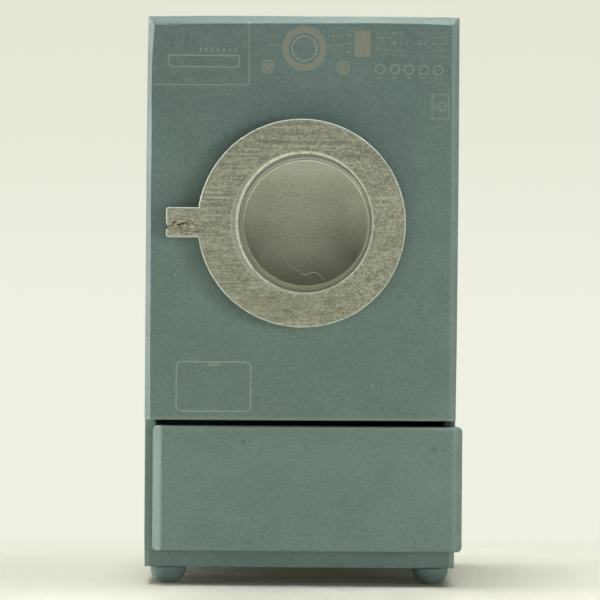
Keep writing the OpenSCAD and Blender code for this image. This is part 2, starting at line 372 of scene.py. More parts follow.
frontMarks = [  # kind, x, height above the panel's lower edge, radius, in mm
    ("dent", -21.1, 69.95, 0.75), ("dent", -10.4, -4.15, 0.7), ("dent", 24.6, -5.25, 0.9),
    ("dent", 14.6, 51.15, 0.5), ("chip", -23.2, 26.45, 0.16), ("chip", 13.1, 6.45, 0.18),
    ("chip", 1.7, -3.15, 0.32), ("chip", 2.2, -3.3, 0.3), ("chip", 2.7, -3.15, 0.3),
    ("chip", -9.83, 72.79, 0.3),
]
paintMarks = {
    "markedPaint": frontMarks, "drawerPaint": frontMarks,
    "cabinetPaint": [("slotShade", 26.4, -0.6, 2.3), ("slotShade", -26.3, -0.4, 0.8)],  # painted shade in the slot's corners
}


def paintedWood(name):
    look = paintLook
    material, tree, shader = newMaterial(name)
    dark, light, dust = (tuple(part * look["shades"][name] for part in look[key])
                         for key in ("dark", "light", "dust"))
    fine = grain(tree, *look["fine"])
    mask = mixValues(tree, look["fineShare"], grain(tree, *look["clouds"]), fine)
    colour = mixColours(tree, mask, dark, light)
    colour = tint(tree, colour, grain(tree, *look["flecks"]), look["fleckShare"], dust)
    height = times(tree, fine, look["fineHeight"])
    wearAndHighlight = 0.0
    for axis, place, start, full, share in paintedEdgeLight.get(name, []):
        near = spread(tree, distanceTo(tree, axis, place), start * mm, full * mm)
        wearAndHighlight = plus(tree, times(tree, near, share), wearAndHighlight, clamp=True)
    # paler paint along the edges: painted highlights
    if wearAndHighlight:
        colour = mixColours(tree, wearAndHighlight, colour, look["edgeHighlight"])
    for kind, x, z, radius in paintMarks.get(name, []):
        depth, ragged, low, high, share, tone, sink = markKinds[kind]
        mark = spot(tree, (x * mm, depth, panelLow.z + z * mm), radius * mm, ragged)
        colour = tint(tree, colour, spread(tree, mark, low, high), share, tone)
        if sink:
            height = minus(tree, height, times(tree, mark, sink))
    finishShader(tree, shader, colour, fine, look["roughness"], height, look["relief"])
    return material


# silver paint on wood: the grain stands in it as short level streaks
silverLook = {
    "bright": (0.60, 0.61, 0.47),
    "mid": (0.43, 0.44, 0.33),
    "dark": (0.27, 0.275, 0.20),
    # paler silver on the eased outline, rubbed and painted as a highlight, and on the hole's rounded
    # edge, a painted highlight
    "edge": (0.62, 0.69, 0.62),
    "crest": (0.84, 0.865, 0.73),
    "bare": (0.33, 0.30, 0.21),
    "fresh": (0.92, 0.90, 0.77),
    "raw": (0.28, 0.245, 0.16),
    # near-black painted shade inside the deepest splits of the torn tab
    "splitShade": (0.08, 0.07, 0.04),
    "smooth": (0.45, 0.46, 0.36),
    "pale": (0.74, 0.75, 0.61),
    "deep": (0.20, 0.18, 0.12),
    "roughness": (0.54, 0.34), "relief": 0.035 * mm,
    "metallic": 0.4, "dull": 0.1,             # on the face, and where it is rounded or rubbed
    "pores": (0.46, 0.32, 0.28, 0.72, 3.0),   # grains: length, width, low, high, detail
    "bands": (4.2, 0.38, 0.28, 0.72, 2.0),
    "clouds": (3.0, 1.3, 0.32, 0.68, 2.0),
    "rubbedSheen": (0.9, 0.9, 0.2, 0.55, 3.0),
    "splinters": (1.2, 0.26),
    "speckled": (-14 * mm, 10 * mm),  # from long grain at the left to speckle at the right
    "bandShare": (0.42, 0.16),        # how much of the bands shows there
    "cloudShare": 0.2, "smoothShare": 0.6, "rubbedSheenShare": 0.95, "lowShare": 0.6,
    "midAt": (0.2, 0.6), "brightAt": (0.46, 0.84), "freshAt": (0.42, 0.7),
    "bareAt": (0.0, 0.16), "rawAt": (0.4, 0.7), "splitAt": (0.75, 1.0),  # levels of wear; the deepest splits are painted near-black as shade
    "lowCrest": (-9, 9, -16, -11.5, 3, 1.5),  # painted shade: the hole's edge is painted darker below
    "streaks": [  # x0, x1, height, half width, tone, share: single lines of the grain
        (14.0, 17.4, 4.55, 0.07, "pale", 0.6), (8.2, 10.6, 11.07, 0.06, "pale", 0.5),
        (-17.0, -13.4, 4.5, 0.09, "pale", 0.42), (-18.2, -13.6, 5.02, 0.10, "deep", 0.4),
        (-17.2, -14.8, 5.45, 0.07, "pale", 0.3), (-17.4, -14.6, 5.9, 0.10, "deep", 0.4),
        (-17.0, -14.9, 6.35, 0.08, "pale", 0.4), (-17.8, -13.8, 2.6, 0.08, "pale", 0.35),
        (-18.2, -13.5, 1.3, 0.07, "pale", 0.3), (-6.8, 8.2, 14.0, 0.06, "pale", 0.4),
        (-6.8, 7.8, 14.7, 0.11, "deep", 0.35), (-3.0, 3.2, 18.05, 0.18, "deep", 0.3),
        (-15.6, -13.2, -5.3, 0.08, "deep", 0.3),
        (-10, 10, -15.6, 2.2, "deep", 0.18), (14.5, 17.5, 0, 6, "pale", 0.1),
    ],
    "streakSoft": (1.0, 0.12),
}


def silverWood(name, kind="face"):
    look = silverLook
    metallic = look["metallic"] if kind == "face" else look["dull"]
    material, tree, shader = newMaterial(name, Metallic=metallic)
    pores = grain(tree, *look["pores"])
    rightward = spread(tree, partOf(tree, "X"), *look["speckled"])
    share = mixValues(tree, rightward, *look["bandShare"])
    mask = mixValues(tree, share, pores, grain(tree, *look["bands"]))
    mask = mixValues(tree, look["cloudShare"], mask, grain(tree, *look["clouds"]))
    colour = layTones(tree, look["dark"], mask, [(look["mid"], *look["midAt"]),
                                                 (look["bright"], *look["brightAt"])])
    if kind == "face":
        uneven = plus(tree, pores, 0.5)
        for left, right, height, half, tone, share in look["streaks"]:
            line = zone(tree, left, right, height - half, height + half, *look["streakSoft"])
            colour = tint(tree, colour, times(tree, line, uneven), share, look[tone])
    if kind == "lip":
        colour = mixColours(tree, look["smoothShare"], colour, look["smooth"])
    # the outline's rubbed edge and the hole's edge: painted highlights
    if kind in ("edge", "crest"):
        rubbedSheen = grain(tree, *look["rubbedSheen"])
        colour = tint(tree, colour, rubbedSheen, look["rubbedSheenShare"], look[kind])
    if kind == "crest":
        colour = tint(tree, colour, zone(tree, *look["lowCrest"]), look["lowShare"], look["mid"])
    splinters = spread(tree, grain(tree, *look["splinters"]), *look["freshAt"])
    bare = mixColours(tree, splinters, look["bare"], look["fresh"])
    wear = addNode(tree, "ShaderNodeAttribute", attribute_name="wear").outputs["Fac"]
    colour = layTones(tree, colour, wear, [(bare, *look["bareAt"]), (look["raw"], *look["rawAt"]),
                                           (look["splitShade"], *look["splitAt"])])
    finishShader(tree, shader, colour, pores, look["roughness"], mask, look["relief"])
    return material


# pressed metal, brushed level
bowlShift = Vector((0.8 * mm, 0, -0.03 * mm))  # the bowl sits off centre in the ring
metalLook = {
    "streaks": (4.0, 0.3, 0.3, 0.7, 2.0), "specks": (0.5, 0.4, 0.3, 0.7, 2.0),
    "metallic": 0.9, "relief": 0.004 * mm,
    "bowl": {"light": (0.565, 0.57, 0.475), "dark": (0.34, 0.345, 0.277),
             "roughness": (0.48, 0.60)},
    "drum": {"light": (0.56, 0.56, 0.52), "dark": (0.46, 0.46, 0.42),
             "roughness": (0.32, 0.44)},
}
bowlReflections = {  # heights and places are in mm from the door's middle
    "upper": (1, 8),            # where the bands that lie only above come in
    "bands": [  # inner and outer radius, share, colour, whether it lies only above
        # a painted highlight on the bead, a painted shade on the flange under the ring's lip, and a
        # painted glint along the upper rim
        (11.15, 11.6, 0.6, (0.90, 0.92, 0.80), False),
        (12.0, 14.0, 0.35, (0.24, 0.25, 0.19), False),
        (11.2, 12.0, 0.8, (0.97, 0.99, 0.87), True)],
    "bandSoft": 0.1,
    # a brown painted shade towards the bottom, standing for the dark reflection there
    "lowShade": (-2, -11, 0.3, (0.44, 0.40, 0.25)),
    "tones": [  # x0, x1, z0, z1, softness, share, colour: painted reflections, lighter and darker patches
        (-6, 6, 9.5, 11, 2.5, 0.2, (0.56, 0.62, 0.60)),
        (-6, 6, 5.5, 6.5, 4.5, 0.18, (0.20, 0.205, 0.165)),
        (-6, 6, -7.0, -5.5, 4.0, 0.25, (0.80, 0.81, 0.64)),
        (10.3, 14, -3, 3, 3.0, 0.24, (0.80, 0.82, 0.68)),
        (-14, -9.7, -3, 3, 3.0, 0.14, (0.80, 0.82, 0.68))],
}


# painted highlights and shade in bands about the bowl's own axis, a brown painted shade below and
# painted reflections in patches
def paintBowlReflections(tree, colour):
    look = bowlReflections
    place = addNode(tree, "ShaderNodeTexCoord")
    flat = addNode(tree, "ShaderNodeVectorMath", operation="MULTIPLY")
    feed(tree, flat.inputs[0], place.outputs["Object"])
    flat.inputs[1].default_value = (1, 0, 1)
    away = addNode(tree, "ShaderNodeVectorMath", operation="DISTANCE")
    feed(tree, away.inputs[0], flat.outputs[0])
    away.inputs[1].default_value = (doorCentre.x + bowlShift.x, 0, doorCentre.z)
    reach, soft = away.outputs["Value"], look["bandSoft"]

    def rise(low, high):
        return spread(tree, partOf(tree, "Z"), doorCentre.z + low * mm, doorCentre.z + high * mm)

    for inner, outer, share, tone, onlyAbove in look["bands"]:
        band = minus(tree, spread(tree, reach, inner * mm, (inner + soft) * mm),
                     spread(tree, reach, (outer - soft) * mm, outer * mm))
        if onlyAbove:
            band = times(tree, band, rise(*look["upper"]))
        colour = tint(tree, colour, band, share, tone)
    start, full, share, tone = look["lowShade"]
    colour = tint(tree, colour, rise(start, full), share, tone)
    for left, right, low, high, soft, share, tone in look["tones"]:
        area = zone(tree, left, right, low, high, soft, soft)
        colour = tint(tree, colour, area, share, tone)
    return colour


def pressedMetal(name, kind):
    look = metalLook[kind]
    material, tree, shader = newMaterial(name, Metallic=metalLook["metallic"])
    streaks = grain(tree, *metalLook["streaks"])
    mask = mixValues(tree, 0.5, streaks, grain(tree, *metalLook["specks"]))
    colour = mixColours(tree, mask, look["dark"], look["light"])
    if kind == "bowl":
        colour = paintBowlReflections(tree, colour)
    finishShader(tree, shader, colour, streaks, look["roughness"], streaks, metalLook["relief"])
    return material


brassLook = {"light": (0.70, 0.50, 0.20), "dark": (0.42, 0.28, 0.10), "roughness": 0.3,
             "tarnish": (0.8, 0.5)}


def brassWire():
    look = brassLook
    material, tree, shader = newMaterial("brass", Metallic=1.0, Roughness=look["roughness"])
    tarnish = grain(tree, *look["tarnish"])
    feed(tree, shader.inputs["Base Color"], mixColours(tree, tarnish, look["dark"], look["light"]))
    return material


# printing ink, worn so that the paint shows through in places
inkLook = {  # cover: the ink's share where it is worn most
    "pale": {"colour": (0.352, 0.436, 0.38), "cover": 0.45},
    "tan": {"colour": (0.352, 0.346, 0.262), "cover": 0.3},
    "tick": {"colour": (0.355, 0.41, 0.35), "cover": 0.2},
    "wearAndHighlight": (0.9, 0.5, 0.3, 0.62, 3.0), "wornFine": (0.42, 0.36, 0.36, 0.64, 2.0),
    "fineShare": 0.6, "roughness": 0.5,
}


def printInk(name):
    look = inkLook
    material, tree, shader = newMaterial(name + "Ink", Roughness=look["roughness"])
    kept = mixValues(tree, look["fineShare"], grain(tree, *look["wearAndHighlight"]),
                     grain(tree, *look["wornFine"]))
    cover = mixValues(tree, kept, look[name]["cover"], 1.0)
    colour = mixColours(tree, cover, paintLook["light"], look[name]["colour"])
    feed(tree, shader.inputs["Base Color"], colour)
    return material


cabinetPaint, markedPaint, drawerPaint, lowPaint, innerPaint = (paintedWood(name) for name in (
    "cabinetPaint", "markedPaint", "drawerPaint", "lowPaint", "innerPaint"))
silverPaint = silverWood("silverPaint")
silverEdge = silverWood("silverEdge", "edge")
silverLip = silverWood("silverLip", "lip")
silverCrest = silverWood("silverCrest", "crest")
bowlMetal = pressedMetal("bowlMetal", "bowl")
drumMetal = pressedMetal("drumMetal", "drum")
brass = brassWire()
paleInk, tickInk, tanInk = printInk("pale"), printInk("tick"), printInk("tan")
print("materials made")


# small helpers for meshes
def mergeDoubles(bm, within=touching / 10):
    bmesh.ops.remove_doubles(bm, verts=bm.verts, dist=within)


def creaseEdges(bm, angle):
    for edge in bm.edges:
        edge.smooth = edge.calc_face_angle(0) < math.radians(angle)


def bmeshOf(mesh):
    bm = bmesh.new()
    bm.from_mesh(mesh)
    return bm


# faces are smooth up to the crease angle, or flat without one
def objectFrom(name, bm, materials=(), crease=None):
    bmesh.ops.recalc_face_normals(bm, faces=bm.faces)
    if crease is not None:
        for face in bm.faces:
            face.smooth = True
        creaseEdges(bm, crease)
    mesh = bpy.data.meshes.new(name)
    bm.to_mesh(mesh)
    bm.free()
    for material in materials:
        mesh.materials.append(material)
    return addObject(name, mesh)


# a piece rides on a body and may stand for a CAD node
def addPiece(name, bm, materials, body, replaced=None, crease=50):
    mergeDoubles(bm)
    piece = objectFrom(name, bm, materials, crease)
    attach(piece, body)
    if replaced:
        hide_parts(replaced)
    return piece


def evenShading(piece):
    weighted = piece.modifiers.new("evenShading", "WEIGHTED_NORMAL")
    weighted.keep_sharp = True


def cubeBetween(bm, low, high):
    verts = bmesh.ops.create_cube(bm, size=1)["verts"]
    bmesh.ops.scale(bm, verts=verts, vec=high - low)
    bmesh.ops.translate(bm, verts=verts, vec=(low + high) / 2)
    return verts


def bevel(bm, parts, offset, segments, affect="EDGES"):
    return bmesh.ops.bevel(bm, geom=parts, offset=offset, offset_type="OFFSET",
                           segments=segments, profile=0.5, affect=affect,
                           clamp_overlap=True, material=-1)


# cuts along a plane: the parts that are given, or all of them
def cutAlong(bm, place, normal, parts=None):
    bmesh.ops.bisect_plane(bm, geom=parts or bm.verts[:] + bm.edges[:] + bm.faces[:],
                           plane_co=place, plane_no=normal)


# the mesh with its modifiers applied, or the mesh of a curve
def finalMesh(thing):
    depsgraph = bpy.context.evaluated_depsgraph_get()
    return bpy.data.meshes.new_from_object(thing.evaluated_get(depsgraph))


def combine(piece, bm, operation):
    tool = objectFrom("tool", bm)
    cut = piece.modifiers.new("cut", "BOOLEAN")
    cut.object = tool
    cut.operation = operation
    cut.solver = "EXACT"
    mesh = finalMesh(piece)
    piece.modifiers.clear()
    piece.data = mesh
    bpy.data.objects.remove(tool)


# a round bar from front to back
def cylinder(bm, centre, radius, length, steps):
    verts = bmesh.ops.create_cone(bm, cap_ends=True, segments=steps, radius1=radius,
                                  radius2=radius, depth=length)["verts"]
    bmesh.ops.rotate(bm, verts=verts, matrix=Matrix.Rotation(math.pi / 2, 3, "X"))
    bmesh.ops.translate(bm, verts=verts, vec=centre)


# joins points by edges, for spin or extrude
def drawLine(bm, points, closed=False):
    verts = [bm.verts.new(point) for point in points]
    edges = [bm.edges.new(pair) for pair in zip(verts, verts[1:])]
    if closed:
        edges.append(bm.edges.new((verts[-1], verts[0])))
    return verts, edges


def spin(bm, verts, edges, centre, axis, steps):
    bmesh.ops.spin(bm, geom=verts + edges, cent=centre, axis=axis, angle=2 * math.pi,
                   steps=steps, use_merge=True, use_duplicate=False)


# turns a profile of (radius, depth) points about the door's axis, from a face at faceY
def turnProfile(bm, points, faceY, steps, closed=False):
    line = [(doorCentre.x - r, faceY + d, doorCentre.z) for r, d in points]
    spin(bm, *drawLine(bm, line, closed), doorCentre, (0, 1, 0), steps)


# points of a quarter round from angle to angle + 90 degrees, about (x, y)
def quarter(x, y, radius, angle, steps=8):
    return [(x + radius * math.cos(math.radians(angle + 90 * step / steps)),
             y + radius * math.sin(math.radians(angle + 90 * step / steps)))
            for step in range(steps + 1)]


# plain boards with softly sanded edges
boards = {  # solid, body, slot, paint, how far its edges are sanded in mm
    "leftSide": ("left_side", "cabinet", "cabinet_paint", cabinetPaint, 0.12),
    "rightSide": ("right_side", "cabinet", "cabinet_paint", cabinetPaint, 0.12),
    "topPanel": ("top_panel", "cabinet", "cabinet_paint", cabinetPaint, 0.3),
    "baseBoard": ("base_board", "cabinet", "cabinet_paint", lowPaint, 0.05),
    "backPanel": ("back_panel", "cabinet", "inner_paint", innerPaint, 0.2),
    "drumShelf": ("drum_shelf", "cabinet", "inner_paint", innerPaint, 0.15),
    "drawerLeftSide": ("drawer_left_side", "drawer", "inner_paint", innerPaint, 0.25),
    "drawerRightSide": ("drawer_right_side", "drawer", "inner_paint", innerPaint, 0.25),
    "drawerBack": ("drawer_back", "drawer", "inner_paint", innerPaint, 0.2),
    "drawerFloor": ("drawer_floor", "drawer", "inner_paint", innerPaint, 0.1),
}
boardCuts = 12  # cross cuts that let a cabinet board lean


# the solid's own shape, with its triangles joined into whole faces
def solidCopy(node):
    bm = bmeshOf(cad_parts[node].data)
    mergeDoubles(bm, touching)
    bmesh.ops.dissolve_limit(bm, angle_limit=math.radians(0.5), verts=bm.verts, edges=bm.edges)
    return bm


def sharpEdges(bm, angle=30):
    return [edge for edge in bm.edges if edge.calc_face_angle(0) > math.radians(angle)]


def makeBoards():
    for name, (node, body, slotName, paint, edge) in boards.items():
        if node in ("left_side", "right_side"):  # rebated for the base board
            bm = solidCopy(node)
        else:
            bm = bmesh.new()
            cubeBetween(bm, *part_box(node))
        if body == "cabinet":
            for step in range(1, boardCuts):
                place = cadLow.lerp(cadHigh, step / boardCuts)
                cutAlong(bm, place, across)
                cutAlong(bm, place, upwards)
            sandCorners(bm)
        bevel(bm, sharpEdges(bm), edge * mm, 3)
        evenShading(addPiece(name, bm, [paint], body, node))


# front panel: three bevelled edges, hand sanded so that their inner lines lean and waver
panelLook = {
    "bevel": 1.2 * mm,
    "waver": (0.09 * mm, 90),      # how far, and how many waves to a metre
    "soft": 0.2 * mm,              # sanding of the other edges
    "cuts": 26,                    # cross cuts that let its lines waver
    "porthole": {"radius": 14.0 * mm, "through": 12 * mm, "steps": 160},
}
leaning = 0.5 * mm  # what lies this close to the cabinet's outline leans with it
lean = {  # how far the sanded lines stray: (place along the edge, shift) in mm
    "innerLeft": [(30, -0.1), (52, -0.2), (71, -0.25), (86, -0.2), (96, -0.2), (101, 0.05),
                  (103.5, 0.3)],
    "innerRight": [(30, 0.35), (60, 0.3), (90, 0.1), (103.5, 0.15)],
    "innerTop": [(-27, -0.66), (-18, -0.45), (-7, -0.27), (0, -0.24), (11, -0.13), (22, -0.17),
                 (27.5, -0.33)],
    "outerLeft": [(5, 0.1), (9, 0.0), (84, 0.01), (89, 0.1), (96, 0.09), (104.7, 0.22)],
    "outerRight": [(5, -0.08), (9, 0.0), (34, 0.0), (43, 0.09), (61, 0.17), (80, 0.21),
                   (104.7, 0.19)],
    "outerTop": [(-28.6, -0.2), (-24, -0.16), (-18, -0.05), (-10, 0.0), (26.3, 0.0),
                 (28.6, -0.12)],
    "outerLow": [(-28.6, -0.15), (0, -0.12), (28.6, -0.05)],
}


def strayAt(line, place):
    points = [(where * mm, shift * mm) for where, shift in lean[line]]
    if place <= points[0][0]:
        return points[0][1]
    for (first, before), (last, after) in zip(points, points[1:]):
        if place < last:
            return before + (after - before) * (place - first) / (last - first)
    return points[-1][1]


# the cabinet is a little out of square, and its upper corners are sanded down
def sandCorners(bm):
    for vert in bm.verts:
        if vert.co.x < panelLow.x + leaning:
            vert.co.x += strayAt("outerLeft", vert.co.z)
        if vert.co.x > panelHigh.x - leaning:
            vert.co.x += strayAt("outerRight", vert.co.z)
        if vert.co.z > panelHigh.z - leaning:
            vert.co.z += strayAt("outerTop", vert.co.x)


def makeFrontPanel():
    look = panelLook
    bm = bmesh.new()
    cubeBetween(bm, panelLow, panelHigh)

    def inFront(vert):
        return vert.co.y < panelLow.y + touching

    def atFoot(vert):
        return vert.co.z < panelLow.z + touching

    front = [edge for edge in bm.edges if all(map(inFront, edge.verts))
             and not all(map(atFoot, edge.verts))]
    bevel(bm, front, look["bevel"], 1)
    for step in range(1, look["cuts"]):
        place = panelLow.lerp(panelHigh, step / look["cuts"])
        cutAlong(bm, place, across)
        cutAlong(bm, place, upwards)
    inner = look["bevel"] + 0.01 * mm
    height, waves = look["waver"]
    for vert in filter(inFront, bm.verts):
        waver = height * noise.noise(vert.co * waves)
        x, z = vert.co.x, vert.co.z
        if z > panelHigh.z - inner:
            vert.co.z += waver + strayAt("innerTop", x)
        if abs(x) > panelHigh.x - inner:
            vert.co.x += waver + strayAt("innerRight" if x > 0 else "innerLeft", z)
    sandCorners(bm)
    for vert in filter(atFoot, bm.verts):
        vert.co.z += strayAt("outerLow", vert.co.x)
    below = [edge for edge in bm.edges
             if all(inFront(vert) and atFoot(vert) for vert in edge.verts)]
    bevel(bm, below, look["soft"], 3)
    bevel(bm, sharpEdges(bm), look["soft"], 2)
    panel = addPiece("frontPanel", bm, [markedPaint], "cabinet", "front_panel")
    hole = bmesh.new()
    centre = Vector((doorCentre.x, panelLow.y, doorCentre.z))
    porthole = look["porthole"]
    cylinder(hole, centre, porthole["radius"], porthole["through"], porthole["steps"])
    combine(panel, hole, "DIFFERENCE")
    evenShading(panel)


# drawer front: the bevelled slab, its edges softened by sanding
drawerLook = {
    "soft": 0.22 * mm, "softAbove": 0.45 * mm,  # sanding of its edges, and of the top one
    "rounding": (0.4 * mm, 0.11 * mm),  # of the left bevel's inner edge: half width, depth
    "near": (0.03 * mm, 0.06 * mm),     # what counts as on that edge: aside, behind the face
    "sharp": 25, "crease": 40,          # angles of what is sanded and of what shades sharp
}


def makeDrawerFront():
    look = drawerLook
    half, back = look["rounding"]
    aside, behind = look["near"]
    bm = solidCopy("drawer_front")
    inner = min(vert.co.x for vert in bm.verts if vert.co.y < drawerLow.y + touching)
    for place in (inner - half, inner + half):
        cutAlong(bm, (place, 0, 0), across)
    for vert in bm.verts:
        if abs(vert.co.x - inner) < aside and vert.co.y < drawerLow.y + behind:
            vert.co.y += back
    above = [edge for edge in sharpEdges(bm, look["sharp"])
             if all(vert.co.z > drawerHigh.z - 0.01 * mm and vert.co.y < drawerLow.y + 1 * mm
                    for vert in edge.verts)]
    bevel(bm, above, look["softAbove"], 4)
    bevel(bm, sharpEdges(bm, look["sharp"]), look["soft"], 3)
    evenShading(addPiece("drawerFront", bm, [drawerPaint], "drawer",
                         "drawer_front", look["crease"]))


# turned ball feet, cut flat below, with a peg up into the base board
footLook = {"flat": 1.4 * mm, "peg": 1.5 * mm, "arcSteps": 14, "turnSteps": 64}  # radii


def makeFeet():
    look = footLook
    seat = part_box("base_board")[0].z
    for node in ("foot_front_left", "foot_front_right", "foot_rear_left", "foot_rear_right"):
        low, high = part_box(node)
        centre, radius = (low + high) / 2, (high.x - low.x) / 2
        ball = math.sqrt(radius ** 2 - look["flat"] ** 2)
        start = -math.degrees(math.asin(ball / radius))
        turns = [math.radians(start * (1 - step / look["arcSteps"]))
                 for step in range(look["arcSteps"] + 1)]
        profile = [(0, 0)] + [(radius * math.cos(angle), ball + radius * math.sin(angle))
                              for angle in turns]
        profile += [(look["peg"], seat), (look["peg"], high.z), (0, high.z)]
        bm = bmesh.new()
        line = [(centre.x + r, centre.y, low.z + z) for r, z in profile]
        spin(bm, *drawLine(bm, line), centre, upwards, look["turnSteps"])
        addPiece(node, bm, [lowPaint], "cabinet", node)


# door ring: a flat wooden ring with the pull tab in one piece, notched for the hinge eyes
ringLook = {
    "hole": 12.5 * mm,
    "rebate": (14.4 * mm, 1.1 * mm),   # radius, depth
    "rimEase": 0.26 * mm,
    "crest": 0.42 * mm,                # width of the hole's rounded edge
    "crestProfile": [(0.0, 0.06), (0.28, 0.09), (0.5, 0.14), (0.7, 0.22), (0.85, 0.33),
                     (0.95, 0.47), (1.0, 0.62)],
    "crestSwell": (0.3, 150),          # how much wider it gets, and in which direction
    "lip": 0.40 * mm,                  # width of the smooth band outside it
    "lipProfile": [(0.0, 0.0), (0.12, 0.03), (0.25, 0.045)],
    "lipReach": (12.92 * mm, 0.1 * mm),      # its outer radius and its least width
    "holeShape": (12.38, 0.67, 0.0, -0.22),  # mean radius, to the right, upwards, wider, in mm
    "bulge": (0.20 * mm, -48, 30),     # outline's bump: height, direction and half width
    "tabWidth": 5.5 * mm,
    "tabRoot": 1.6 * mm,               # how far the tab reaches into the ring
    "tabCorner": 0.5 * mm,
    "notch": {"below": 0.85 * mm, "half": 0.42 * mm, "depth": 0.5 * mm, "reach": 0.9 * mm,
              "cuts": 8, "ends": 1.9},  # in the tab's end; it ends at so many half widths
    "eyePlay": 0.15 * mm,
    "steps": 240, "crease": 40,
    "nearHole": (14 * mm, 0.65 * mm),  # radius and depth of what belongs to the hole's edge
    "coatDepths": (0.03 * mm, 0.06 * mm),  # where its lip and its crest start
    "edgeDepth": 0.5 * mm,             # how deep the outline's rubbed edge goes
}
tornLook = {  # splintered wood on the tab, in mm from the door's middle
    "area": (-24.3, -18.4, 2.4), "margin": 0.02,  # x0, x1, half height
    "cuts": [(-24.3, -18.4, 0.12, across), (-2.36, 1.5, 0.09, upwards)],
    "centre": (-21.3, -0.72), "reach": (2.85, 1.7), "depth": 0.16,
    "waves": [(1.0, 1.1, 4.0, 3.1), (0.6, 3.0, 8.0, 7.7)],  # height, along x, along z, seed
    "splits": [  # x, height, half length, half width, depth
        (-23.25, 0.05, 0.45, 0.10, 0.38), (-22.1, -0.33, 0.75, 0.13, 0.48),
        (-23.9, -0.52, 0.3, 0.12, 0.2), (-20.85, -0.1, 0.4, 0.08, 0.22),
        (-20.1, -1.1, 0.6, 0.08, 0.2), (-21.9, -1.25, 0.9, 0.06, 0.2),
        (-19.3, -1.6, 0.5, 0.07, 0.24), (-21.6, 1.2, 1.2, 0.05, 0.08),
    ],
    "rim": 2.5, "ridges": (0.25, 1.5),  # how sharply the torn area starts, its mean and waves
    "bend": (0.12, 5),                 # how far the splits bend, and how often
    "deepest": 0.6, "fullWear": 0.34,  # behind the face; the wear is full at this depth
}


def fromDoor(place):
    return (place.x - doorCentre.x) / mm, (place.z - doorCentre.z) / mm


def onTear(x, z, margin=0.0):
    left, right, half = tornLook["area"]
    return left - margin < x < right + margin and abs(z) < half


def tornDepth(x, z):
    look = tornLook
    (middleX, middleZ), (reachX, reachZ) = look["centre"], look["reach"]
    away = ((x - middleX) / reachX) ** 2 + ((z - middleZ) / reachZ) ** 2
    ridges = sum(height * noise.noise(Vector((x * alongX, z * alongZ, seed)))
                 for height, alongX, alongZ, seed in look["waves"])
    mean, waves = look["ridges"]
    depth = look["depth"] * min(1.0, max(0.0, 1 - away) * look["rim"])
    depth *= max(0.0, mean + waves * ridges)
    bend, turns = look["bend"]
    for splitX, splitZ, length, width, deep in look["splits"]:
        middle = splitZ + bend * math.sin(turns * (x - splitX))
        share = ((x - splitX) / length) ** 2 + ((z - middle) / width) ** 2
        depth = max(depth, deep * math.exp(-share * share))
    return depth


def tearTab(bm):
    for first, last, step, normal in tornLook["cuts"]:
        for count in range(int((last - first) / step) + 1):
            place = doorCentre + (first + count * step) * mm * Vector(normal)
            faces = [face for face in bm.faces if face.normal.y < -0.99]
            around = dict.fromkeys(part for face in faces for part in face.edges[:] + face.verts[:])
            cutAlong(bm, place, normal, faces + list(around))
    for vert in bm.verts:
        x, z = fromDoor(vert.co)
        if vert.co.y < ringLow.y + touching and onTear(x, z, tornLook["margin"]):
            vert.co.y += tornDepth(x, z) * mm


def makeTab():
    look = ringLook
    half = look["tabWidth"] / 2
    low = Vector((ringLow.x, ringLow.y, doorCentre.z - half))
    high = Vector((doorCentre.x - ringRadius + look["tabRoot"], ringHigh.y, doorCentre.z + half))
    bm = bmesh.new()
    cubeBetween(bm, low, high)
    ends = [edge for edge in bm.edges
            if all(vert.co.x < low.x + touching for vert in edge.verts)
            and abs(edge.verts[0].co.z - edge.verts[1].co.z) < touching]
    bevel(bm, ends, look["tabCorner"], 4)
    front = [edge for edge in sharpEdges(bm)
             if all(vert.co.y < low.y + touching for vert in edge.verts)
             and min(vert.co.x for vert in edge.verts) < high.x - 0.1 * mm]
    bevel(bm, front, look["rimEase"], 3)
    notchTab(bm)
    bm.normal_update()
    tearTab(bm)
    return bm


# pulls the tab's end in where it is notched
def notchTab(bm):
    notch = ringLook["notch"]
    middle = doorCentre.z - notch["below"]
    for step in range(-notch["cuts"], notch["cuts"] + 1):
        cutAlong(bm, (0, 0, middle + step * notch["half"] / 4), upwards)
    for vert in bm.verts:
        away = abs(vert.co.z - middle) / notch["half"]
        share = 1 - (vert.co.x - ringLow.x) / notch["reach"]
        if share > 0 and away < notch["ends"]:
            vert.co.x += notch["depth"] * share * math.exp(-away ** 1.5)


# the hole was cut by hand: its edge is off centre, and the lip is widest at the left
def shapeHole(bm):
    look = ringLook
    mean, right, up, wide = look["holeShape"]
    swell, widest = look["crestSwell"]
    lipRadius, leastLip = look["lipReach"]
    height, direction, halfWidth = look["bulge"]
    for vert in bm.verts:
        x, z = vert.co.x - doorCentre.x, vert.co.z - doorCentre.z
        reach, angle = math.hypot(x, z), math.atan2(z, x)
        wanted = reach
        if reach < look["hole"] + look["crest"] + look["lip"] + touching:
            edge = mean + right * math.cos(angle) + up * math.sin(angle)
            edge = (edge + wide * math.cos(2 * angle)) * mm
            crest = look["crest"] * (1 + swell * math.cos(angle - math.radians(widest)))
            inner = edge + min(1, (reach - look["hole"]) / look["crest"]) * crest
            outer = max(lipRadius, edge + crest + leastLip)
            share = max(0, reach - look["hole"] - look["crest"]) / look["lip"]
            wanted = inner + share * (outer - inner)
        elif reach > ringRadius - 1 * mm:
            away = (math.degrees(angle) - direction) / halfWidth
            wanted = reach + height * math.exp(-away * away)
        vert.co.x = doorCentre.x + x * wanted / reach
        vert.co.z = doorCentre.z + z * wanted / reach


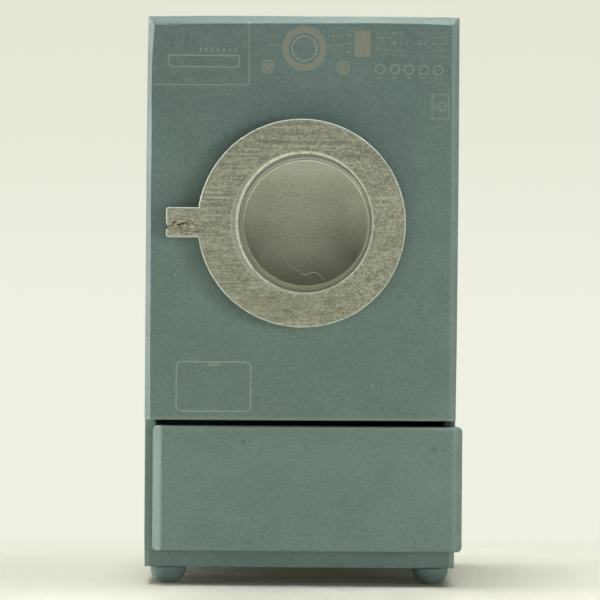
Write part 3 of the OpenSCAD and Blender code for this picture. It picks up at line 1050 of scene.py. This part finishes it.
def makeDoor():
    look = ringLook
    rim = look["rimEase"]
    rebateRadius, rebateDepth = look["rebate"]
    profile = [(look["hole"], rebateDepth), (rebateRadius, rebateDepth), (rebateRadius, ringDepth),
               (ringRadius, ringDepth)]
    profile += [(r, 2 * rim - d) for r, d in quarter(ringRadius - rim, rim, rim, 0, 3)]
    crestEnd = look["hole"] + look["crest"]
    profile += [(crestEnd + look["lip"] * (1 - share), depth * mm)
                for share, depth in look["lipProfile"]]
    profile += [(crestEnd - look["crest"] * share, depth * mm)
                for share, depth in look["crestProfile"]]
    bm = bmesh.new()
    turnProfile(bm, profile, ringLow.y, look["steps"], closed=True)
    mergeDoubles(bm)
    shapeHole(bm)
    ring = addPiece("doorRing", bm, [silverPaint, silverEdge, silverLip, silverCrest], "door",
                    "door_ring", look["crease"])
    combine(ring, makeTab(), "UNION")
    combine(ring, eyeNotches(), "DIFFERENCE")
    finishDoor(ring)


# two blocks at the back of the ring, where the hinge eyes reach in
def eyeNotches():
    wide = (eyeHigh.x - eyeLow.x) / 2 + ringLook["eyePlay"]
    tall = (eyeHigh.z - eyeLow.z) / 2 + ringLook["eyePlay"]
    bm = bmesh.new()
    for side in (-1, 1):
        rise = side * (eyeLow.z + eyeHigh.z - 2 * doorCentre.z) / 2
        middle = Vector((hingeAxis.x, hingeAxis.y, doorCentre.z + rise))
        cubeBetween(bm, middle + Vector((-wide, -wide, -tall)),
                    middle + Vector((ringRadius, ringDepth, tall)))
    return bm


# the coat of a face of the ring: 0 for the face, 1 for a rubbed edge with a painted highlight, 2 for
# the lip, 3 for the crest with a painted highlight
def coatOf(face):
    look = ringLook
    middle = face.calc_center_median()
    depth = middle.y - ringLow.y
    holeRadius, holeDepth = look["nearHole"]
    lip, crest = look["coatDepths"]
    if math.hypot(middle.x - doorCentre.x, middle.z - doorCentre.z) < holeRadius and (
            touching < depth < holeDepth):
        return 3 if depth > crest else 2 if depth > lip else 1
    if onTear(*fromDoor(middle)):
        return 0
    return int(touching < depth < look["edgeDepth"] and abs(face.normal.y) < 0.97)


# the outline's eased edges carry the rubbed silver with its painted highlight; the tab's face is
# torn along the grain
def finishDoor(ring):
    bm = bmeshOf(ring.data)
    wear = bm.verts.layers.float.new("wear")
    for vert in bm.verts:
        depth = (vert.co.y - ringLow.y) / mm
        if onTear(*fromDoor(vert.co)) and depth < tornLook["deepest"]:
            vert[wear] = min(1.0, depth / tornLook["fullWear"])
    for face in bm.faces:
        face.material_index = coatOf(face)
    creaseEdges(bm, ringLook["crease"])
    bm.to_mesh(ring.data)
    bm.free()
    evenShading(ring)


# bowl: flange in the rebate, standing rim, shallow dish, all of one thickness
bowlLook = {
    "mouth": 11.3 * mm, "wall": 0.4 * mm, "depth": 3.0 * mm, "rimDrop": 0.7 * mm,
    "seat": 1.1 * mm, "flange": 13.5 * mm,
    "arcSteps": 40, "beadSteps": 8, "turnSteps": 192,
}


# radius of the dish, and its centre's depth behind the ring's face
def dishArc():
    look = bowlLook
    radius = (look["mouth"] ** 2 + look["depth"] ** 2) / (2 * look["depth"])
    return radius, look["rimDrop"] + look["wall"] / 2 + look["depth"] - radius


def makeBowl():
    look = bowlLook
    mouth, wall, seat, flange = look["mouth"], look["wall"], look["seat"], look["flange"]
    dishRadius, dishCentre = dishArc()
    rim = wall / 2
    rimDepth = look["rimDrop"] + rim

    def dish(radius, reach):
        widest = math.asin(reach / radius)
        turns = [widest * step / look["arcSteps"] for step in range(look["arcSteps"] + 1)]
        return [(radius * math.sin(angle), dishCentre + radius * math.cos(angle))
                for angle in turns]

    turns = [math.pi * step / look["beadSteps"] for step in range(1, look["beadSteps"] + 1)]
    bead = [(mouth + rim - rim * math.cos(angle), rimDepth - rim * math.sin(angle))
            for angle in turns]
    profile = dish(dishRadius, mouth) + bead
    profile += [(mouth + wall, seat), (flange, seat), (flange, seat + wall), (mouth, seat + wall)]
    profile += list(reversed(dish(dishRadius + wall, mouth - 0.05 * mm)))
    bm = bmesh.new()
    turnProfile(bm, profile, ringLow.y, look["turnSteps"])
    bmesh.ops.translate(bm, verts=bm.verts, vec=bowlShift)
    addPiece("doorBowl", bm, [bowlMetal], "door", "door_bowl")


# drum: open cup with a rounded back
drumLook = {"mouth": 14.0 * mm, "wall": 0.6 * mm, "depth": 20 * mm, "corner": 3 * mm, "steps": 160}


def makeDrum():
    look = drumLook
    mouth, wall, depth, corner = look["mouth"], look["wall"], look["depth"], look["corner"]
    flange = (drumHigh.x - drumLow.x) / 2
    inside = quarter(mouth - corner, depth - corner, corner, 0)
    outside = quarter(mouth - corner, depth - corner, corner + wall, 0)
    profile = [(0, depth)] + list(reversed(inside))
    profile += [(mouth, 0), (flange, 0), (flange, wall), (mouth + wall, wall)]
    profile += outside + [(0, depth + wall)]
    bm = bmesh.new()
    turnProfile(bm, profile, drumLow.y, look["steps"])
    addPiece("drumCup", bm, [drumMetal], "cabinet", "drum")


makeBoards()
makeFrontPanel()
makeDrawerFront()
makeFeet()
makeDoor()
makeBowl()
makeDrum()
print("main pieces made")

for node in ("hinge_eye_upper", "hinge_eye_lower", "hinge_pin"):
    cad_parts[node].data.materials.clear()
    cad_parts[node].data.materials.append(brass)


# prints on the front panel, in mm from its middle and above its lower edge, all generic
printLook = {"rise": 0.02 * mm, "thickness": 0.04 * mm, "cornerSteps": 6, "discSteps": 40}
lineArt = {
    "patches": [  # x0, z0, x1, z1
        (-9.92, 61.25, -9.74, 72.7),       # detergent drawer
        (-27.2, 61.25, -9.92, 61.43),
        (9.52, 66.7, 9.66, 71.41),         # outline of the display at the dial's right
        (9.66, 66.7, 12.44, 66.84),
        (-24.6, 66.81, -11.65, 66.9),      # the handle's upper edge is printed heavier
        (24.1, 57.2, 24.26, 57.95), (24.4, 57.3, 24.52, 57.8),
    ],
    "frames": [  # x0, z0, x1, z1, corner, whether the top corners are round too, line
        (-24.7, 64.5, -11.55, 66.8, 0.7, False, 0.22),   # its handle
        (-22.9, 1.34, -9.0, 10.68, 0.98, True, 0.27),      # filter flap
        (-17.0, 9.77, -14.7, 10.46, 0.3, True, 0.24),      # the flap's notch
        (23.7, 55.3, 26.9, 59.9, 0.05, True, 0.17),       # mark at the right
    ],
    "rings": [  # x, z, outer radius, inner radius
        (0.28, 68.13, 2.42, 2.12), (-6.38, 64.79, 1.2, 0.98), (7.41, 64.67, 1.2, 0.98),
        (14.18, 64.45, 0.95, 0.74), (16.97, 64.43, 0.95, 0.72), (19.49, 64.37, 0.95, 0.72),
        (22.24, 64.28, 0.95, 0.72), (24.89, 64.3, 0.95, 0.72), (25.62, 57.62, 0.84, 0.62),
        (0.28, 68.13, 4.05, 3.93),
    ],
}
dialArt = {
    "rings": [(0.28, 68.13, 3.9, 2.85)],
    "discs": [(-6.38, 64.79, 0.74), (7.41, 64.67, 0.74)],
    "patches": [(9.68, 66.86, 12.44, 71.41)],
}
tickArt = {  # rows of small marks: first x, last x, z, how many, width, height
    "rows": [
        (-18.75, -12.31, 67.8, 7, 0.36, 0.75), (16.97, 24.89, 64.35, 4, 0.2, 0.22),
        (25.62, 25.62, 57.62, 1, 0.26, 0.26), (-5.8, -4.4, 72.05, 2, 0.3, 0.25),
        (-6.5, -4.3, 70.45, 4, 0.3, 0.3), (-6.5, -4.3, 68.8, 4, 0.3, 0.4),
        (6.2, 7.2, 71.85, 3, 0.22, 0.2), (4.8, 7.1, 70.5, 4, 0.28, 0.35),
        (4.8, 7.1, 68.7, 4, 0.28, 0.5), (8.25, 8.8, 70.63, 2, 0.3, 0.5),
        (8.25, 8.8, 69.18, 2, 0.3, 0.3), (8.45, 8.45, 67.65, 1, 0.6, 0.4),
        (13.7, 14.4, 71.05, 2, 0.3, 0.25), (13.7, 14.4, 70.2, 2, 0.4, 0.35),
        (15.1, 15.8, 70.2, 2, 0.4, 0.35), (15.1, 15.8, 71.05, 2, 0.3, 0.2),
        (16.5, 18.4, 71.1, 5, 0.28, 0.25), (16.9, 16.9, 69.25, 1, 0.6, 0.6),
        (18.0, 19.2, 69.25, 2, 0.16, 0.45), (13.7, 14.4, 68, 2, 0.3, 0.4),
        (15.1, 15.8, 68, 2, 0.3, 0.25), (16.6, 18.4, 67.85, 4, 0.3, 0.2),
        (13.7, 14.9, 66.95, 3, 0.24, 0.2), (16.5, 18.8, 66.9, 4, 0.32, 0.24),
        (21.4, 22.4, 71.1, 3, 0.3, 0.22), (21.4, 22.4, 69.25, 2, 0.4, 0.4),
        (21.5, 22.2, 66.95, 2, 0.24, 0.24),
        (24.0, 26.1, 71.1, 4, 0.26, 0.3), (24.0, 26.1, 70.2, 4, 0.26, 0.34),
        (24.0, 26.1, 69.15, 4, 0.26, 0.44), (24.0, 26.1, 67.95, 4, 0.26, 0.4),
        (24.0, 26.1, 66.95, 4, 0.26, 0.34),
        (14.25, 14.25, 63.5, 1, 0.9, 0.14), (14.25, 14.25, 62.88, 1, 0.9, 0.2),
        (16.9, 16.9, 62.88, 1, 0.8, 0.2), (19.5, 19.5, 62.87, 1, 1.0, 0.2),
        (21.7, 22.8, 62.88, 3, 0.3, 0.24), (24.3, 25.5, 62.88, 3, 0.3, 0.24),
        (22.3, 26.2, 61.95, 7, 0.26, 0.24),
    ],
}


def flatPatch(bm, x0, z0, x1, z1):
    verts = bmesh.ops.create_grid(bm, x_segments=1, y_segments=1, size=0.5)["verts"]
    bmesh.ops.scale(bm, verts=verts, vec=(x1 - x0, z1 - z0, 1))
    bmesh.ops.translate(bm, verts=verts, vec=((x0 + x1) / 2, (z0 + z1) / 2, 0))
    return verts


def cutMiddle(bm, face, line):
    bmesh.ops.inset_region(bm, faces=[face], thickness=line, use_boundary=True,
                           use_even_offset=True)
    bmesh.ops.delete(bm, geom=[face], context="FACES")


def flatFrame(bm, x0, z0, x1, z1, corner, allRound, line):
    verts = flatPatch(bm, x0, z0, x1, z1)
    rounded = [vert for vert in verts if allRound or vert.co.y < (z0 + z1) / 2]
    shaped = bevel(bm, rounded, corner, printLook["cornerSteps"], "VERTICES")
    face = max(shaped["faces"] + list(shaped["verts"][0].link_faces),
               key=lambda part: part.calc_area())
    cutMiddle(bm, face, line)


def flatDisc(bm, x, z, radius):
    verts = bmesh.ops.create_circle(bm, cap_ends=True, segments=printLook["discSteps"],
                                    radius=radius)["verts"]
    bmesh.ops.translate(bm, verts=verts, vec=(x, z, 0))
    return verts[0].link_faces[0]


def flatRing(bm, x, z, outer, inner):
    cutMiddle(bm, flatDisc(bm, x, z, outer), outer - inner)


def tickRow(bm, first, last, z, count, width, height):
    for step in range(count):
        x = first + (last - first) * step / max(1, count - 1)
        flatPatch(bm, x - width / 2, z - height / 2, x + width / 2, z + height / 2)


def movedVerts(grown):
    return [part for part in grown["geom"] if isinstance(part, bmesh.types.BMVert)]


# lays flat art on the panel, scaled to metres, and gives it the ink's thickness
def pressPrint(name, bm, ink):
    bmesh.ops.scale(bm, verts=bm.verts, vec=(mm, mm, 1))
    bmesh.ops.rotate(bm, verts=bm.verts, matrix=Matrix.Rotation(math.pi / 2, 3, "X"))
    bmesh.ops.translate(bm, verts=bm.verts, vec=(0, panelLow.y - printLook["rise"], panelLow.z))
    bmesh.ops.recalc_face_normals(bm, faces=bm.faces)
    grown = bmesh.ops.extrude_face_region(bm, geom=bm.faces[:])
    bmesh.ops.translate(bm, verts=movedVerts(grown), vec=(0, printLook["thickness"], 0))
    addPiece(name, bm, [ink], "cabinet", crease=30)


def makePrints():
    draw = {"patches": flatPatch, "frames": flatFrame, "rings": flatRing, "discs": flatDisc,
            "rows": tickRow}
    for name, art, ink in (("printedLines", lineArt, paleInk), ("printedDial", dialArt, tanInk),
                           ("printedTicks", tickArt, tickInk)):
        bm = bmesh.new()
        for kind, shapes in art.items():
            for shape in shapes:
                draw[kind](bm, *shape)
        pressPrint(name, bm, ink)


makePrints()
print("prints made")


# a stray hair on the bowl, lying along its surface
hairLook = {
    "radius": 0.06 * mm, "lift": 0.055 * mm,
    "light": (0.63, 0.62, 0.51), "dark": (0.44, 0.43, 0.345), "roughness": 0.45,
    "tone": (0.4, 0.4),                  # the grain in its colour
    "faint": (0.42, 0.41, 0.33), "clear": (-4.6, 1),  # it is faint at the left and clears up here
}
hairPath = [  # x and height from the door's middle, in mm
    (-4.6, -3.4), (-3.5, -5.35), (-2.06, -7.7), (-0.24, -8.8), (0.67, -9.43), (1.58, -9.07),
    (2.86, -9.0), (3.6, -9.72), (4.3, -10.45),
]


def hairFibre():
    look = hairLook
    material, tree, shader = newMaterial("hairFibre", Roughness=look["roughness"])
    colour = mixColours(tree, grain(tree, *look["tone"]), look["dark"], look["light"])
    start, full = (doorCentre.x + x * mm for x in look["clear"])
    clear = spread(tree, partOf(tree, "X"), start, full)
    feed(tree, shader.inputs["Base Color"], mixColours(tree, clear, look["faint"], colour))
    return material


def makeHair():
    look = hairLook
    data = bpy.data.curves.new("hair", "CURVE")
    data.dimensions = "3D"
    data.bevel_depth = look["radius"]
    data.bevel_resolution = 1
    data.use_fill_caps = True
    data.resolution_u = 6
    line = data.splines.new("BEZIER")
    line.bezier_points.add(len(hairPath) - 1)
    dishRadius, dishCentre = dishArc()
    for point, (x, z) in zip(line.bezier_points, hairPath):
        reach = math.hypot(x * mm - bowlShift.x, z * mm - bowlShift.z)
        depth = dishCentre + math.sqrt(dishRadius ** 2 - reach ** 2) - look["lift"]
        point.co = doorCentre + Vector((x * mm, depth, z * mm))
        point.handle_left_type = point.handle_right_type = "AUTO"
    curve = addObject("hairCurve", data)
    bm = bmeshOf(finalMesh(curve))
    bpy.data.objects.remove(curve)
    addPiece("hair", bm, [hairFibre()], "door", crease=180)


makeHair()
print("small marks made")


# floor and backdrop in one sweep; far from the machine it shows its own plain colour
sweepLook = {
    "colour": (0.53, 0.535, 0.45), "roughness": 0.9,
    "mottle": (30.0, 30.0, 0.3, 0.7, 3.0), "mottleShare": 0.02,
    "far": (0.865, 0.875, 0.76), "high": (0.785, 0.795, 0.675), "rise": (0.03, 0.16),
    # the floor glows faintly warm all over: painted light that lifts the shade under the machine
    "glowColour": (1.0, 0.96, 0.62), "glow": 0.028, "blend": (0.03, 0.11),
    "width": 3.0, "front": -1.6, "bend": 0.35, "radius": 0.4, "height": 1.4,
    "tones": [  # in mm before the panel: where each starts, is full, fades and ends; share, tone
        # painted light and shade on the floor: lighter just before the machine, darker further out,
        # and a painted shadow under its front
        (-13, -1, 2.0, 5.5, 0.36, (1.0, 1.0, 1.0)),
        (-12, -30, -45, -70, 0.15, (0.0, 0.0, 0.0)),
        (27, 19, 8.5, 5.5, 0.55, (0.0, 0.0, 0.0))],
    "toneHalf": (29, 18),  # how far aside of the middle they start and are full
}


def makeSweepPaper():
    look = sweepLook
    material, tree, shader = newMaterial("sweepPaper", Roughness=look["roughness"])
    pale, deep = (tuple(part * (1 + share) for part in look["colour"])
                  for share in (look["mottleShare"], -look["mottleShare"]))
    colour = mixColours(tree, grain(tree, *look["mottle"]), deep, pale)
    start, full = (edge * mm for edge in look["toneHalf"])
    beside = spread(tree, distanceTo(tree, "X", 0.0), start, full)
    depth = partOf(tree, "Y")
    # lays the painted light and shade on the floor
    for *edges, share, tone in look["tones"]:
        start, full, fading, gone = (panelLow.y + edge * mm for edge in edges)
        band = times(tree, spread(tree, depth, start, full), spread(tree, depth, gone, fading))
        colour = tint(tree, colour, times(tree, band, beside), share, tone)
    feed(tree, shader.inputs["Base Color"], colour)
    # the faint warm glow is painted light
    setInputs(shader, Emission_Color=(*look["glowColour"], 1), Emission_Strength=look["glow"])
    far = spread(tree, depth, *look["blend"])
    rays = addNode(tree, "ShaderNodeLightPath").outputs
    seen = plus(tree, rays["Is Camera Ray"], rays["Is Glossy Ray"])
    seen = plus(tree, seen, rays["Is Transmission Ray"], clamp=True)
    high = spread(tree, partOf(tree, "Z"), *look["rise"])
    plain = addNode(tree, "ShaderNodeEmission")
    feed(tree, plain.inputs["Color"], mixColours(tree, high, look["far"], look["high"]))
    blend = addNode(tree, "ShaderNodeMixShader")
    for index, value in enumerate((times(tree, far, seen), shader.outputs[0], plain.outputs[0])):
        feed(tree, blend.inputs[index], value)
    feed(tree, tree.nodes["Material Output"].inputs["Surface"], blend.outputs[0])
    return material


def makeSweep():
    look = sweepLook
    path = [(look["front"], 0), (look["bend"], 0)]
    path += [(look["bend"] + y, z) for y, z in quarter(0, look["radius"], look["radius"], -90, 16)]
    path += [(look["bend"] + look["radius"], look["height"])]
    bm = bmesh.new()
    edges = drawLine(bm, [(-look["width"] / 2, y, z) for y, z in path])[1]
    grown = bmesh.ops.extrude_edge_only(bm, edges=edges)
    bmesh.ops.translate(bm, verts=movedVerts(grown), vec=(look["width"], 0, 0))
    mergeDoubles(bm, touching)
    objectFrom("sweep", bm, [makeSweepPaper()], 180)


makeSweep()
print("stage made")
